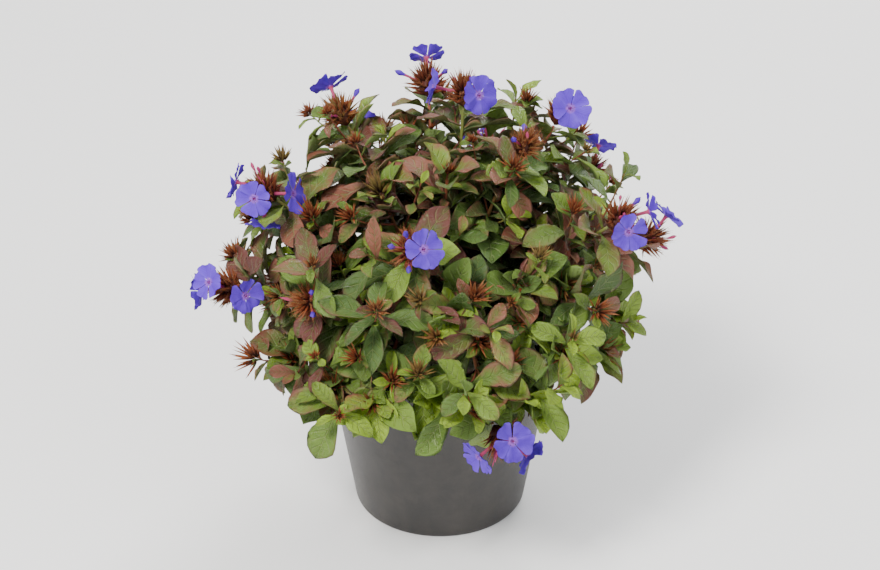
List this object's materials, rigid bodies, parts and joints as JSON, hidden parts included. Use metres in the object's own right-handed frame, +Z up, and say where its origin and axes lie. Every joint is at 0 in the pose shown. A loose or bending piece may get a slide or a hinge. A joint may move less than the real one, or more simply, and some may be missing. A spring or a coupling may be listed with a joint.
{
  "type": "potted hardy plumbago",
  "caption": "Round nursery pot holding a mounded perennial with arching leafy stems, bristly rust-brown flower heads and open violet-blue blooms.",
  "frame": {"origin": "middle of the flat centre of the pot's underside", "axes": "+Z up along the pot's axis, -Y towards the front, where one stem hangs over the rim"},
  "size_m": [0.256, 0.2357, 0.2459],
  "materials": {
    "pot": "matte",
    "soil": "matte",
    "leaf": "satin",
    "bract": "matte",
    "petal": "satin"
  },
  "bodies": {
    "root": {"pot": "pot", "soil": "soil", "leafy_stem_01": "leaf", "leafy_stem_02": "leaf", "leafy_stem_03": "leaf", "leafy_stem_04": "leaf", "leafy_stem_05": "leaf", "leafy_stem_06": "leaf", "leafy_stem_07": "leaf", "leafy_stem_08": "leaf", "leafy_stem_09": "leaf", "leafy_stem_10": "leaf", "leafy_stem_11": "leaf", "leafy_stem_12": "leaf", "leafy_stem_13": "leaf", "leafy_stem_14": "leaf", "leafy_stem_15": "leaf", "leafy_stem_16": "leaf", "leafy_stem_17": "leaf", "leafy_stem_18": "leaf", "leafy_stem_19": "leaf", "leafy_stem_20": "leaf", "flower_head_01": "bract", "flower_head_02": "bract", "flower_head_03": "bract", "flower_head_04": "bract", "flower_head_05": "bract", "flower_head_09": "bract", "flower_head_10": "bract", "flower_head_11": "bract", "flower_head_12": "bract", "flower_head_13": "bract", "flower_head_14": "bract", "flower_head_15": "bract", "flower_head_16": "bract", "flower_head_17": "bract", "flower_head_19": "bract", "bloom_01_1": "petal", "bloom_01_2": "petal", "bloom_01_3": "petal", "bloom_01_4": "petal", "bloom_02_1": "petal", "bloom_02_2": "petal", "bloom_02_3": "petal", "bloom_04_1": "petal", "bloom_05_1": "petal", "bloom_05_2": "petal", "bloom_05_3": "petal", "bloom_10_1": "petal", "bloom_11_1": "petal", "bloom_11_2": "petal", "bloom_12_1": "petal", "bloom_13_1": "petal", "bloom_13_2": "petal", "bloom_14_1": "petal", "bloom_15_1": "petal", "bloom_16_1": "petal", "bloom_17_1": "petal", "bloom_19_1": "petal"}
  },
  "joints": []
}
